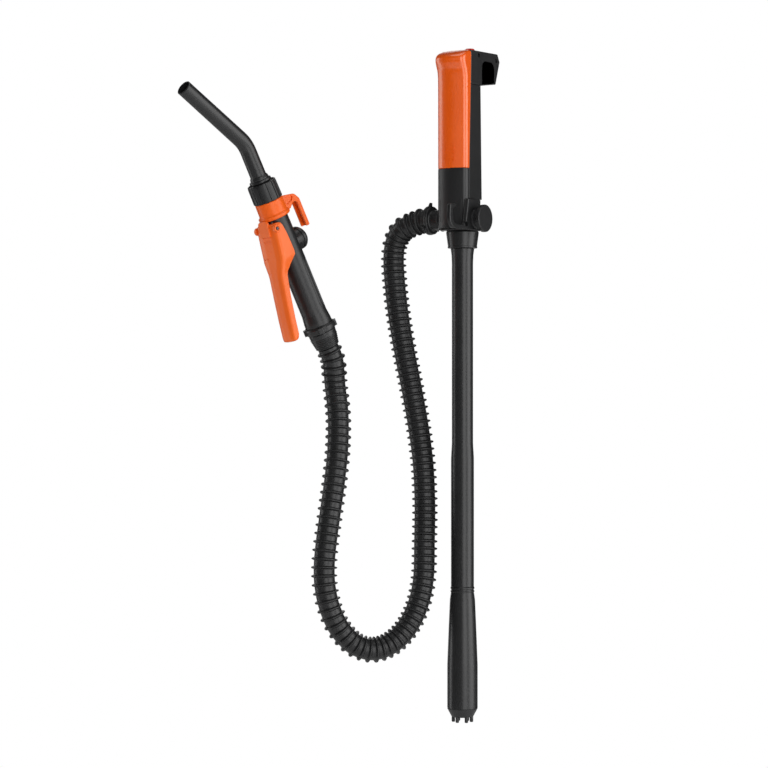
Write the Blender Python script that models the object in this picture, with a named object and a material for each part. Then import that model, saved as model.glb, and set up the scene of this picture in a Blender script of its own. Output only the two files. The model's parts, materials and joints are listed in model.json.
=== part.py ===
"""Battery-powered hand pump with a corrugated hose and a lever-operated filling nozzle.

The pump hangs by the hook on its head, and the origin is on the hook's underside, in the middle of the
saddle. +Z is up, the orange battery cover faces -Y, the hook opens towards +Y and the side knob is at +X.
Lengths are in millimetres until solid() turns them into metres. The pump's pieces are drawn in its own
frame, whose origin is on the tube's axis level with the feet; the nozzle's in a frame whose origin is on
the grip's axis at the hose swivel, with +Z up the grip and +X towards the lever.
"""

import math

import bmesh
import bpy
from mathutils import Vector

MM = 0.001
GAP = 0.3  # between pieces that touch

# Suction tube and motor bulb: radii and heights above the feet
FOOT_CIRCLE_R = 11.8
BULB_R = 20.3
BULB_BOTTOM = 18.7
BULB_SHOULDER = 76.0
BULB_WALL = 2.0
TUBE_BOTTOM = 181.0
TUBE_TOP = 632.0
TUBE_LOWER_R = 15.3
TUBE_UPPER_R = 14.15
TUBE_BORE_R = 12.0
COLLAR_TOP = 654.5
COLLAR_R = 22.0

# Handle housing
HALF_WIDTH = 22.5
BASE_BOTTOM = 655.0
BASE_TOP = 696.5
COVER_BOTTOM = 737.0
HEAD_BOTTOM = 848.5
HEAD_TOP = 896.0
FRONT = 34.0  # how far the front stands before the tube's axis
FRONT_CORNER_R = 11.0
REAR_CORNER_R = 8.0
SHELL_WALL = 2.3
PORT_Y, PORT_Z = -12.0, 670.0  # the axis that the outlet and the knob share

# Hanging hook on the head: y behind the axis
SLOT_FRONT, SLOT_BACK, SLOT_TOP = 14.2, 43.3, 881.0
HANG_Y, HANG_Z = (SLOT_FRONT + SLOT_BACK) / 2, SLOT_TOP
BUTTON_Y = 19.0
BUTTON_R = 6.7

# Side bracket
PLATE_INNER, PLATE_OUTER = HALF_WIDTH + GAP, 28.2
KNOB_R = 18.0
KNOB_INNER, KNOB_OUTER = 34.8, 43.4

# Hose and nozzle
HOSE_R = 17.0
NOZZLE_AT = (-149.8, -115.2, 522.8)
NOZZLE_TURN = (5.0, 25.7, -100.7)
GRIP_R = 17.2
PIVOT_X, PIVOT_Z = 21.3, 154.2
VALVE_Z = 124.0
SPOUT_BEND_Z = 268.0
SPOUT_BEND = 30.8
SPOUT_LENGTH = 119.0
SPOUT_R = 10.4

# The hose's centreline in metres, from the pump's outlet to the nozzle, with the hook's saddle as origin
HOSE_ROUTE = [
    (-0.0440, -0.0408, -0.2112),
    (-0.0545, -0.0408, -0.2110),
    (-0.0664, -0.0409, -0.2140),
    (-0.0848, -0.0433, -0.2216),
    (-0.0967, -0.0422, -0.2367),
    (-0.1014, -0.0410, -0.2595),
    (-0.0990, -0.0415, -0.2946),
    (-0.0919, -0.0428, -0.3408),
    (-0.0823, -0.0426, -0.3894),
    (-0.0720, -0.0411, -0.4380),
    (-0.0625, -0.0402, -0.4864),
    (-0.0544, -0.0408, -0.5374),
    (-0.0497, -0.0439, -0.5882),
    (-0.0470, -0.0491, -0.6388),
    (-0.0444, -0.0561, -0.6902),
    (-0.0471, -0.0676, -0.7276),
    (-0.0561, -0.0827, -0.7566),
    (-0.0686, -0.1001, -0.7747),
    (-0.0844, -0.1190, -0.7815),
    (-0.1014, -0.1361, -0.7739),
    (-0.1150, -0.1513, -0.7530),
    (-0.1236, -0.1609, -0.7265),
    (-0.1284, -0.1653, -0.6986),
    (-0.1302, -0.1652, -0.6723),
    (-0.1299, -0.1616, -0.6424),
    (-0.1290, -0.1529, -0.6005),
    (-0.1291, -0.1419, -0.5559),
    (-0.1312, -0.1316, -0.5137),
    (-0.1367, -0.1228, -0.4711),
    (-0.1449, -0.1181, -0.4312),
    (-0.1430, -0.1256, -0.3996),
    (-0.1456, -0.1336, -0.3811),
]

MATERIALS = {
    "black_plastic": ((0.020, 0.020, 0.022), 0.38, 0.0),
    "orange_plastic": ((0.68, 0.09, 0.01), 0.32, 0.0),
    "red_plastic": ((0.50, 0.02, 0.01), 0.35, 0.0),
    "hose_plastic": ((0.022, 0.022, 0.024), 0.45, 0.0),
    "black_rubber": ((0.012, 0.012, 0.013), 0.75, 0.0),
    "steel": ((0.55, 0.55, 0.57), 0.30, 1.0),
    "brass": ((0.62, 0.44, 0.18), 0.30, 1.0),
    "cell_jacket": ((0.30, 0.31, 0.33), 0.40, 0.3),
    "white_plastic": ((0.70, 0.70, 0.68), 0.45, 0.0),
}


def clear_scene():
    for obj in list(bpy.data.objects):
        bpy.data.objects.remove(obj, do_unlink=True)


def material(name):
    found = bpy.data.materials.get(name)
    if found:
        return found
    colour, roughness, metallic = MATERIALS[name]
    made = bpy.data.materials.new(name)
    made.use_nodes = True
    shader = made.node_tree.nodes["Principled BSDF"]
    shader.inputs["Base Color"].default_value = (*colour, 1.0)
    shader.inputs["Roughness"].default_value = roughness
    shader.inputs["Metallic"].default_value = metallic
    return made


def frame(name, at, turn=(0, 0, 0), parent=None):
    """An empty that other pieces are placed by."""
    empty = bpy.data.objects.new(name, None)
    bpy.context.collection.objects.link(empty)
    empty.parent = parent
    empty.location = Vector(at) * MM
    empty.rotation_euler = [math.radians(a) for a in turn]
    return empty


def solid(name, shape, look, parent, at=(0, 0, 0), turn=(0, 0, 0)):
    """An object from (points, faces) in millimetres, with its faces pointing out."""
    points, faces = shape
    mesh = bpy.data.meshes.new(name)
    mesh.from_pydata([Vector(p) * MM for p in points], [], faces)
    work = bmesh.new()
    work.from_mesh(mesh)
    bmesh.ops.recalc_face_normals(work, faces=work.faces)
    work.to_mesh(mesh)
    work.free()
    mesh.shade_smooth()
    mesh.set_sharp_from_angle(angle=math.radians(35))
    mesh.materials.append(material(look))
    obj = bpy.data.objects.new(name, mesh)
    bpy.context.collection.objects.link(obj)
    obj.parent = parent
    obj.location = Vector(at) * MM
    obj.rotation_euler = [math.radians(a) for a in turn]
    return obj


def tool(target, shape, operation, at=(0, 0, 0), turn=(0, 0, 0)):
    """Cuts the shape out of the target, or joins it on; at and turn are in the target's parent's frame."""
    number = sum(m.type == "BOOLEAN" for m in target.modifiers) + 1
    helper = solid(f"{target.name}_tool_{number}", shape, "black_plastic", target.parent, at, turn)
    helper.hide_render = True
    helper.display_type = "WIRE"
    modifier = target.modifiers.new(f"{operation.lower()}_{number}", "BOOLEAN")
    modifier.operation = operation
    modifier.object = helper


def cut(target, shape, at=(0, 0, 0), turn=(0, 0, 0)):
    tool(target, shape, "DIFFERENCE", at, turn)


def join(target, shape, at=(0, 0, 0), turn=(0, 0, 0)):
    tool(target, shape, "UNION", at, turn)


def loft(rings, closed=False):
    """A skin over rings of equally many points, with capped ends, or run round into itself."""
    count = len(rings[0])
    points = [p for ring in rings for p in ring]
    faces = []
    for i in range(len(rings) if closed else len(rings) - 1):
        a, b = i * count, (i + 1) % len(rings) * count
        for j in range(count):
            k = (j + 1) % count
            faces.append((a + j, a + k, b + k, b + j))
    if not closed:
        faces.append(tuple(range(count))[::-1])
        faces.append(tuple(range(len(points) - count, len(points))))
    return points, faces


def turned(profile, segments=28):
    """A profile of (radius, height) turned about Z. It closes on itself unless it ends on the axis."""
    closed = profile[0][0] > 0 and profile[-1][0] > 0
    rings = []
    for i in range(segments):
        a = 2 * math.pi * i / segments
        rings.append([(r * math.cos(a), r * math.sin(a), z) for r, z in profile])
    if closed:
        return loft(rings, closed=True)
    points = [(0, 0, profile[0][1]), (0, 0, profile[-1][1])]
    inner = len(profile) - 2
    for ring in rings:
        points += ring[1:-1]
    faces = []
    for i in range(segments):
        a, b = 2 + i * inner, 2 + (i + 1) % segments * inner
        faces.append((0, a, b))
        faces += [(a + j, a + j + 1, b + j + 1, b + j) for j in range(inner - 1)]
        faces.append((a + inner - 1, 1, b + inner - 1))
    return points, faces


def rod(radius, low, high, segments=16):
    return turned([(0, low), (radius, low), (radius, high), (0, high)], segments)


def tube(radius, bore, low, high, segments=24):
    return turned([(bore, low), (radius, low), (radius, high), (bore, high)], segments)


def rounded(corners, steps=4):
    """An outline from corners (a, b, radius), anticlockwise, each rounded by an arc of that radius."""
    outline = []
    for i, (a, b, radius) in enumerate(corners):
        here = Vector((a, b))
        if radius <= 0:
            outline.append((a, b))
            continue
        before = (Vector(corners[i - 1][:2]) - here).normalized()
        after = (Vector(corners[(i + 1) % len(corners)][:2]) - here).normalized()
        half = before.angle(after) / 2
        centre = here + (before + after).normalized() * radius / math.sin(half)
        start = here + before * radius / math.tan(half) - centre
        sweep = start.angle_signed(here + after * radius / math.tan(half) - centre)
        for k in range(steps + 1):
            turn = -sweep * k / steps
            c, s = math.cos(turn), math.sin(turn)
            outline.append((centre.x + c * start.x - s * start.y, centre.y + s * start.x + c * start.y))
    return outline


def coil(low_radius, high_radius, low, high, turns, wire):
    """A wire spring about Z, from one radius at the bottom to another at the top."""
    rings, steps = [], 12
    for i in range(int(turns * steps) + 1):
        share = i / (turns * steps)
        a = 2 * math.pi * i / steps
        radius = low_radius + (high_radius - low_radius) * share
        ring = []
        for b in (math.radians(72 * k) for k in range(5)):
            r = radius + wire * math.cos(b)
            ring.append((r * math.cos(a), r * math.sin(a), low + (high - low) * share + wire * math.sin(b)))
        rings.append(ring)
    return loft(rings)


def prism(outline, low, high, axis="Z"):
    """An outline pushed from low to high along an axis; on X it is drawn in (y, z), on Y in (x, z)."""
    place = {
        "X": lambda a, b, h: (h, a, b),
        "Y": lambda a, b, h: (a, h, b),
        "Z": lambda a, b, h: (a, b, h),
    }[axis]
    return loft([[place(a, b, h) for a, b in outline] for h in (low, high)])


def box(low, high):
    (x0, y0, z0), (x1, y1, z1) = low, high
    return prism([(x0, y0), (x1, y0), (x1, y1), (x0, y1)], z0, z1)


def split_y(z):
    """Where the housing's front covers meet its rear shells."""
    return -20.0 + max(0.0, z - COVER_BOTTOM) * 5.0 / (HEAD_TOP - COVER_BOTTOM)


def rear_y(z):
    return 18.7 - (z - BASE_BOTTOM) * 5.0 / (HEAD_TOP - BASE_BOTTOM)


# ---------------------------------------------------------------- suction tube, motor and intake


def intake_cap(pump):
    cap = solid(
        "intake_cap",
        turned(
            [
                (8.0, 6.9), (13.6, 6.9), (14.6, 7.6), (BULB_R, BULB_BOTTOM - GAP), (18.0, BULB_BOTTOM - GAP),
                (18.0, 23.5), (15.8, 23.5), (15.8, 13.0), (12.0, 9.6), (8.0, 9.6),
            ]
        ),
        "black_plastic",
        pump,
    )
    for i in range(6):
        a = math.radians(60 * i + 27)
        join(cap, rod(2.3, 0, 8.2, 10), (FOOT_CIRCLE_R * math.cos(a), FOOT_CIRCLE_R * math.sin(a), 0))
    strainer = solid("intake_strainer", rod(7.6, 7.4, 9.2, 24), "black_plastic", pump)
    for x in (-4.2, 0.0, 4.2):
        reach = 5.6 if x == 0 else 3.6
        cut(strainer, box((x - 0.9, -reach, 6), (x + 0.9, reach, 11)))


def motor_bulb(pump):
    outer = [
        (BULB_R, BULB_BOTTOM), (BULB_R, BULB_SHOULDER), (19.35, 101), (18.1, 133), (16.8, 163), (15.9, 171),
        (15.2, 173.4), (16.0, 173.8), (16.0, 175.4), (15.3, 175.8), (15.3, 177.6), (16.0, 178.0),
        (16.0, 179.7), (15.3, TUBE_BOTTOM - GAP),
    ]
    inner = [
        (12.4, TUBE_BOTTOM - GAP), (12.4, 169), (14.3, 163), (15.6, 133), (16.9, 101),
        (BULB_R - BULB_WALL, BULB_SHOULDER), (BULB_R - BULB_WALL, BULB_BOTTOM),
    ]
    solid("motor_housing", turned(outer + inner), "black_plastic", pump)


def motor(pump):
    """The motor hangs in the bulb on a spoked mount, and liquid rises past it between the spokes."""
    spokes = []
    for i in range(6):
        for r, a in ((14.4, -17), (14.4, 17), (17.9, 19), (17.9, 41)):
            angle = math.radians(60 * i + a)
            spokes.append((r * math.cos(angle), r * math.sin(angle)))
    mount = solid("motor_mount", prism(spokes, 41.0, 44.0), "black_plastic", pump)
    cut(mount, rod(4.2, 40, 45, 16))
    solid(
        "motor_can",
        turned([(2.2, 44.3), (12.5, 44.3), (14.0, 46), (14.0, 100), (12.5, 102), (4.0, 102), (4.0, 106),
                (1.0, 106), (1.0, 70), (2.2, 70)], 24),
        "steel",
        pump,
    )
    solid("shaft_seal", tube(3.8, 2.1, 40.6, 43.7, 16), "black_rubber", pump)

    solid("motor_shaft", rod(1.6, 25.5, 68, 12), "steel", pump)
    blades = []
    for i in range(6):
        for r, a in ((4.6, -9), (13.6, 8), (13.6, 20), (4.6, 24)):
            angle = math.radians(60 * i + a)
            blades.append((r * math.cos(angle), r * math.sin(angle)))
    impeller = solid("impeller", prism(blades, 27.0, 35.0), "white_plastic", pump)
    join(impeller, rod(14.6, 25.8, 27.4, 24))
    cut(impeller, rod(1.6 + GAP, 24, 37, 12))


def suction_tube(pump):
    profile = [
        (TUBE_BORE_R, 170), (TUBE_BORE_R, TUBE_BOTTOM), (TUBE_LOWER_R, TUBE_BOTTOM), (TUBE_LOWER_R, 352),
        (TUBE_UPPER_R, 372), (TUBE_UPPER_R, 616), (14.6, 624), (15.8, TUBE_TOP - GAP),
        (11.0, TUBE_TOP - GAP), (11.0, 170),
    ]
    solid("suction_tube", turned(profile), "black_plastic", pump)
    collar = [
        (11.2, TUBE_TOP), (19.35, TUBE_TOP), (COLLAR_R, COLLAR_TOP - 1.5), (COLLAR_R - 1, COLLAR_TOP),
        (11.2, COLLAR_TOP),
    ]
    solid("tube_collar", turned(collar), "black_plastic", pump)
    solid("wire_conduit", rod(1.9, 107, 682, 10), "black_rubber", pump, (0, 7.6, 0))


# ---------------------------------------------------------------- handle housing


def base_block(pump):
    """The outlet chamber: the tube's bore turns here into the cross bore of the outlet and the valve."""
    outline = rounded(
        [
            (-19.4, -31.2, 7.5), (19.4, -31.2, 7.5), (19.4, -19.4, 0), (21.2, -19.4, 0),
            (21.2, 16.4, 7.0), (-21.2, 16.4, 7.0), (-21.2, -19.4, 0), (-19.4, -19.4, 0),
        ]
    )
    base = solid("outlet_chamber", prism(outline, BASE_BOTTOM, BASE_TOP), "black_plastic", pump)
    cut(base, rod(10.4, BASE_BOTTOM - 1, 684, 24))
    cut(base, rod(8.8, -23, 23, 24), (0, PORT_Y, PORT_Z), (0, 90, 0))


def shell_section(z, side):
    """One rear half-shell's section: a channel that is open to the front and at the middle."""
    w, t, back, front = HALF_WIDTH, SHELL_WALL, rear_y(z), split_y(z) + GAP / 2
    mid = GAP / 2
    corners = [
        (w, front, 0), (w, back, REAR_CORNER_R), (mid, back, 0), (mid, back - t, 0),
        (w - t, back - t, REAR_CORNER_R - t), (w - t, front, 0),
    ]
    return [(side * x, y, z) for x, y in rounded(corners, 3)]


def housing_shells(pump):
    levels = (BASE_TOP + GAP, COVER_BOTTOM, HEAD_BOTTOM)
    for name, side in (("housing_right", 1), ("housing_left", -1)):
        solid(name, loft([shell_section(z, side) for z in levels]), "black_plastic", pump)


def hanger_head(pump):
    side = rounded(
        [
            (split_y(HEAD_BOTTOM) + GAP / 2, HEAD_BOTTOM + GAP, 0), (SLOT_FRONT, HEAD_BOTTOM + GAP, 0),
            (SLOT_FRONT, SLOT_TOP, 8.0), (SLOT_BACK, SLOT_TOP, 8.0), (SLOT_BACK, 854.0, 1.0),
            (47.8, 854.0, 1.0), (58.6, 885.5, 2.0), (52.5, HEAD_TOP, 2.0),
            (split_y(HEAD_TOP) + GAP / 2, HEAD_TOP, 0),
        ]
    )
    head = solid("hanger_head", prism(side, -HALF_WIDTH, HALF_WIDTH, "X"), "black_plastic", pump)
    cut(head, box((-20.2, -30, HEAD_BOTTOM - 1), (20.2, 11.8, HEAD_TOP - 2.6)))
    cut(head, rod(BUTTON_R + GAP, 889.6, 900, 24), (0, BUTTON_Y, 0))
    cut(head, rod(5.2, 883.2, 890, 16), (0, BUTTON_Y, 0))
    for y, z in ((4.5, 888.5), (50.0, 886.0)):
        cut(head, rod(2.6, 17.5, 24, 12), (0, y, z), (0, 90, 0))
    for number, (y, z) in enumerate(((4.5, 888.5), (50.0, 886.0)), 1):
        bore = 20.0 if y < SLOT_FRONT else 18.2
        screw = solid(f"head_screw_{number}", rod(2.2, bore, 21.6, 12), "steel", pump, (0, y, z), (0, 90, 0))
        cut(screw, box((-0.45, -1.7, 20.8), (0.45, 1.7, 23)), (0, y, z), (0, 90, 0))

    solid(
        "power_button",
        turned([(0, 888.2), (2.4, 888.2), (2.4, 892.2), (BUTTON_R, 892.2), (BUTTON_R, 899.3),
                (BUTTON_R - 1.4, 900.6), (0, 901.0)], 24),
        "red_plastic",
        pump,
        (0, BUTTON_Y, 0),
    )
    solid("switch_body", rod(4.9, 883.5, 886.0, 16), "black_rubber", pump, (0, BUTTON_Y, 0))


def cover_ring(z, front, half_width, corner, tilt, inset=0.0):
    """A section of the battery cover, leaning up towards the back by tilt degrees."""
    back = split_y(z) - GAP / 2 + (12 if inset else 0)
    w, f, r = half_width - inset, front - inset, max(corner - inset, 1.0)
    outline = rounded([(-w, back, 0), (-w, -f, r), (w, -f, r), (w, back, 0)], 4)
    rise = math.tan(math.radians(tilt))
    return [(x, y, z + rise * (y + FRONT)) for x, y in outline]


def battery_cover(pump):
    rings = [
        (COVER_BOTTOM, FRONT, HALF_WIDTH, FRONT_CORNER_R, 0),
        (866.0, FRONT, HALF_WIDTH, FRONT_CORNER_R, 0),
        (871.0, 36.0, HALF_WIDTH, FRONT_CORNER_R, 2),
        (876.5, 38.6, HALF_WIDTH, FRONT_CORNER_R, 4),
        (882.0, 39.4, HALF_WIDTH, FRONT_CORNER_R, 8),
        (886.3, 38.0, 22.2, FRONT_CORNER_R, 12),
        (889.0, 34.6, 21.2, 10.5, 15),
        (890.5, 30.0, 19.6, 9.5, 17),
    ]
    cover = solid("battery_cover", loft([cover_ring(*ring) for ring in rings]), "orange_plastic", pump)
    hollow = [
        cover_ring(z, FRONT, HALF_WIDTH, FRONT_CORNER_R, tilt, 2.3)
        for z, tilt in ((COVER_BOTTOM + 2.3, 0), (870.0, 0), (884.0, 10))
    ]
    cut(cover, loft(hollow))


def front_cover(pump):
    """The fixed black panel under the battery cover."""
    w, f, t, r = HALF_WIDTH, FRONT, SHELL_WALL, FRONT_CORNER_R
    back = -20.0 - GAP / 2
    outline = rounded(
        [
            (-w, back, 0), (-w, -f, r), (w, -f, r), (w, back, 0),
            (w - t, back, 0), (w - t, -f + t, r - t), (-w + t, -f + t, r - t), (-w + t, back, 0),
        ]
    )
    solid("front_cover", prism(outline, 657.5, COVER_BOTTOM - GAP), "black_plastic", pump)


def cell(pump, name, low):
    profile = [(0, low), (15.8, low), (16.6, low + 0.8), (16.6, low + 58.2), (15.8, low + 59), (4.6, low + 59),
               (4.6, low + 60.8), (0, low + 60.8)]
    solid(name, turned(profile, 24), "cell_jacket", pump, (0, -12, 0))


def battery_bay(pump):
    cell(pump, "battery_lower", 750.5)
    cell(pump, "battery_upper", 811.8)
    tray = rounded([(-18.8, -1.5, 0), (-18.8, 12.4, 5), (18.8, 12.4, 5), (18.8, -1.5, 0)], 3)
    cradle = solid("battery_cradle", prism(tray, 740.0, 846.5), "black_plastic", pump)
    cut(cradle, rod(17.0, 742.5, 850, 24), (0, -12, 0))
    cut(cradle, box((-10, 3, 739), (10, 14, 849)))
    solid("contact_plate", box((-8, -20, 742.9), (8, -3, 743.5)), "brass", pump)
    solid("contact_spring", coil(6.0, 3.8, 744.4, 749.6, 2.5, 0.5), "steel", pump, (0, -12, 0))


# ---------------------------------------------------------------- side bracket, knob and outlet


def side_bracket(pump):
    """A plate on the housing's right side that runs forward into an open hook for the nozzle."""
    outline = rounded(
        [
            (-3.5, 654.5, 3.0), (-3.5, 696.0, 2.0), (-31.5, 696.0, 2.0), (-35.5, 676.0, 12.0),
            (-38.5, 660.5, 12.0), (-69.6, 660.5, 15.0), (-69.6, 680.0, 1.5), (-63.0, 683.0, 1.5),
            (-63.0, 687.0, 2.0), (-77.5, 687.0, 3.5), (-79.0, 654.5, 19.0),
        ][::-1]
    )
    bracket = solid("side_bracket", prism(outline, PLATE_INNER, PLATE_OUTER, "X"), "black_plastic", pump)
    join(bracket, rod(12.5, PLATE_OUTER - 1, KNOB_INNER - GAP, 24), (0, PORT_Y, PORT_Z), (0, 90, 0))
    cut(bracket, rod(4.4, 20, 36, 16), (0, PORT_Y, PORT_Z), (0, 90, 0))
    cut(bracket, rod(3.4, 24.8, 30, 12), (0, -37.0, 661.5), (0, 90, 0))


def side_knob(pump):
    """The knob, its spindle and the quarter-turn valve plug in the outlet chamber turn together."""
    profile = [(0, 9.5), (4.0, 9.5), (4.0, KNOB_INNER), (KNOB_R - 0.6, KNOB_INNER), (KNOB_R, KNOB_INNER + 0.8),
               (KNOB_R, KNOB_OUTER - 2.6), (KNOB_R - 2.4, KNOB_OUTER - 0.4), (KNOB_R - 3.6, KNOB_OUTER), (0, KNOB_OUTER)]
    place = ((0, PORT_Y, PORT_Z), (0, 90, 0))
    solid("side_knob", turned(profile), "black_plastic", pump, *place)
    plug = solid("valve_plug", rod(8.4, -8.4, 9.2, 24), "white_plastic", pump, *place)
    cut(plug, rod(5.6, -12, 5.6, 16), *place)
    cut(plug, rod(5.6, -12, 12, 16), (0, PORT_Y, PORT_Z), (-90, 0, 0))


def outlet_socket(pump):
    place = ((0, PORT_Y, PORT_Z), (0, -90, 0))
    socket = [
        (6.0, 9.0), (7.8, 9.0), (7.8, HALF_WIDTH + GAP), (18.6, HALF_WIDTH + GAP), (19.8, 24.0), (19.8, 35.0),
        (18.4, 36.4), (6.0, 36.4),
    ]
    solid("outlet_socket", turned(socket, 28), "black_plastic", pump, *place)
    ring = [(9.0, 36.7), (18.4, 36.7), (19.6, 37.6), (19.6, 41.0), (18.6, 41.9), (9.0, 41.9)]
    solid("hose_flange", turned(ring, 28), "hose_plastic", pump, *place)


# ---------------------------------------------------------------- hose


def smooth_route(points, count):
    """Points read at even steps from a Catmull-Rom curve through the route's own points."""
    p = [Vector(q) for q in points]
    p = [2 * p[0] - p[1], *p, 2 * p[-1] - p[-2]]
    fine = []
    for i in range(1, len(p) - 2):
        for k in range(24):
            t = k / 24
            fine.append(
                0.5 * (2 * p[i] + (p[i + 1] - p[i - 1]) * t
                       + (2 * p[i - 1] - 5 * p[i] + 4 * p[i + 1] - p[i + 2]) * t * t
                       + (3 * p[i] - p[i - 1] - 3 * p[i + 1] + p[i + 2]) * t * t * t)
            )
    fine.append(p[-2])
    along = [0.0]
    for a, b in zip(fine, fine[1:]):
        along.append(along[-1] + (b - a).length)
    spaced, j = [], 0
    for i in range(count):
        at = along[-1] * i / (count - 1)
        while j < len(along) - 2 and along[j + 1] < at:
            j += 1
        spaced.append(fine[j].lerp(fine[j + 1], min(1.0, (at - along[j]) / (along[j + 1] - along[j]))))
    return spaced


def hose():
    curve = bpy.data.curves.new("hose", "CURVE")
    curve.dimensions = "3D"
    curve.bevel_depth = HOSE_R * MM
    curve.bevel_resolution = 2
    curve.use_fill_caps = True
    spline = curve.splines.new("POLY")
    route = smooth_route(HOSE_ROUTE, 50)
    spline.points.add(len(route) - 1)
    for point, place in zip(spline.points, route):
        point.co = (*place, 1.0)
    curve.materials.append(material("hose_plastic"))
    obj = bpy.data.objects.new("hose", curve)
    bpy.context.collection.objects.link(obj)


# ---------------------------------------------------------------- nozzle


def grip(nozzle):
    profile = [
        (8.0, 4.0), (15.0, 4.0), (18.4, 7.0), (18.6, 14.0), (GRIP_R, 24.0), (GRIP_R, 112.0), (16.8, 160.0),
        (16.8, 163.7), (8.0, 163.7),
    ]
    body = solid("grip_body", turned(profile, 28), "black_plastic", nozzle)
    lug = rounded([(8, 141, 0), (22, 141, 3), (25.6, 149, 4), (25.6, 160, 6), (14, 163.4, 3), (8, 163.4, 0)], 3)
    join(body, prism(lug, -8.2, 8.2, "Y"))
    join(body, rod(14.6, 10.0, 20.4, 24), (0, 0, VALVE_Z), (0, -90, 0))
    cut(body, rod(10.0, -13.0, 22.0, 20), (0, 0, VALVE_Z), (0, -90, 0))
    cut(body, rod(2.9, 9.0, 24.0, 12), (0, 0, VALVE_Z), (0, 90, 0))
    cut(body, rod(2.4, -12.0, 12.0, 12), (PIVOT_X, 0, PIVOT_Z), (90, 0, 0))
    for side in (-1, 1):
        angle = math.radians(180 + 26 * side)
        cut(body, rod(1.1, 36.0, 100.0, 8), (17.6 * math.cos(angle), 17.6 * math.sin(angle), 0))
    solid("pivot_pin", rod(2.1, -21.2, 21.2, 12), "steel", nozzle, (PIVOT_X, 0, PIVOT_Z), (90, 0, 0))


def valve(nozzle):
    place = ((0, 0, VALVE_Z), (0, -90, 0))
    cap = [(0, 24.8), (9.0, 24.8), (9.0, 20.7), (15.6, 20.7), (15.6, 28.4), (13.5, 30.6), (0, 30.6)]
    solid("valve_bonnet", turned(cap), "black_plastic", nozzle, *place)
    stem = [(0, -25.6), (2.4, -25.6), (2.4, 1.0), (9.4, 1.0), (9.4, 4.0), (2.4, 4.0), (2.4, 8.0), (0, 8.0)]
    solid("valve_stem", turned(stem, 16), "steel", nozzle, *place)
    solid("valve_spring", coil(6.6, 6.6, 4.9, 17.8, 3.0, 0.55), "steel", nozzle, *place)


def lever(nozzle):
    """A channel that straddles the grip at the pivot and narrows into the finger bar."""
    def section(z, front, width, depth):
        """The channel's section at height z: open towards the grip."""
        w, t, r = width / 2, 2.2, 8.0 if width > 30 else 5.0
        corners = [
            (front - depth, -w, 0), (front, -w, r), (front, w, r), (front - depth, w, 0),
            (front - depth, w - t, 0), (front - t, w - t, r - t), (front - t, -w + t, r - t),
            (front - depth, -w + t, 0),
        ]
        return [(x, y, z) for x, y in rounded(corners, 2)]

    levels = [
        (162.0, 27.9, 32.0, 10.0), (158.0, 29.9, 34.0, 17.0), (146.0, 30.8, 39.6, 21.0),
        (128.0, 32.2, 40.0, 22.5), (112.0, 35.4, 39.0, 24.0), (100.0, 38.4, 31.0, 14.0),
        (92.0, 40.4, 25.0, 10.5), (66.0, 47.4, 23.0, 10.0), (38.0, 54.0, 22.6, 10.0), (14.0, 59.0, 22.6, 10.0),
        (10.0, 59.7, 21.0, 9.4),
    ]
    bar = solid("lever", loft([section(*level) for level in levels]), "orange_plastic", nozzle)
    for side in (-1, 1):
        join(bar, rod(4.2, 15.8, 20.4, 14), (PIVOT_X, 0, PIVOT_Z), (90 * side, 0, 0))
    cut(bar, rod(2.4, -24, 24, 12), (PIVOT_X, 0, PIVOT_Z), (90, 0, 0))
    join(bar, rod(3.6, 26.4, 31.6, 12), (0, 0, VALVE_Z), (0, 90, 0))


def hook_ring(nozzle):
    """The orange collar with the hook that the nozzle hangs by."""
    ring = solid(
        "hook_ring",
        turned([(11.0, 164.0), (20.4, 164.0), (20.8, 166.5), (20.8, 169.0), (19.4, 171.5), (18.8, 187.7),
                (11.0, 187.7)]),
        "orange_plastic",
        nozzle,
    )
    side = rounded(
        [
            (-17.0, 166.0, 0), (-17.0, 186.8, 0), (-41.5, 180.0, 9), (-47.3, 171.0, 4), (-47.3, 133.0, 1.5),
            (-41.4, 133.0, 1.5), (-41.4, 169.0, 4), (-35.0, 170.5, 4), (-26.0, 164.6, 2),
        ],
        3,
    )
    join(ring, prism(side, -6.0, 6.0, "Y"))


def union_nut(nozzle):
    outline = []
    for i in range(12):
        for r, a in ((17.6, 1), (19.8, 5), (19.8, 21), (17.6, 25)):
            angle = math.radians(30 * i + a)
            outline.append((r * math.cos(angle), r * math.sin(angle)))
    nut = solid("union_nut", prism(outline, 188.0, 213.0), "black_plastic", nozzle)
    cut(nut, turned([(0, 186), (16.0, 186), (16.0, 208.0), (12.2, 211.5), (12.2, 216), (0, 216)], 28))


def bent_tube(radius, arm_end, start):
    """A round bar up the grip's axis that leans over towards the lever at the bend."""
    lean = math.radians(SPOUT_BEND)
    bend_r = 62.0
    run = bend_r * math.tan(lean / 2)
    rings = []

    def ring(centre, tilt, r):
        side = Vector((math.cos(tilt), 0, -math.sin(tilt)))
        return [
            tuple(centre + side * r * math.cos(b) + Vector((0, 1, 0)) * r * math.sin(b))
            for b in (2 * math.pi * k / 20 for k in range(20))
        ]

    rings.append(ring(Vector((0, 0, start)), 0, radius + 0.5))
    centre = Vector((bend_r, 0, SPOUT_BEND_Z - run))
    for i in range(6):
        a = lean * i / 5
        rings.append(ring(centre + Vector((-math.cos(a), 0, math.sin(a))) * bend_r, a, radius + 0.25))
    corner = Vector((0, 0, SPOUT_BEND_Z))
    rings.append(ring(corner + Vector((math.sin(lean), 0, math.cos(lean))) * arm_end, lean, radius))
    return loft(rings)


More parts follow.
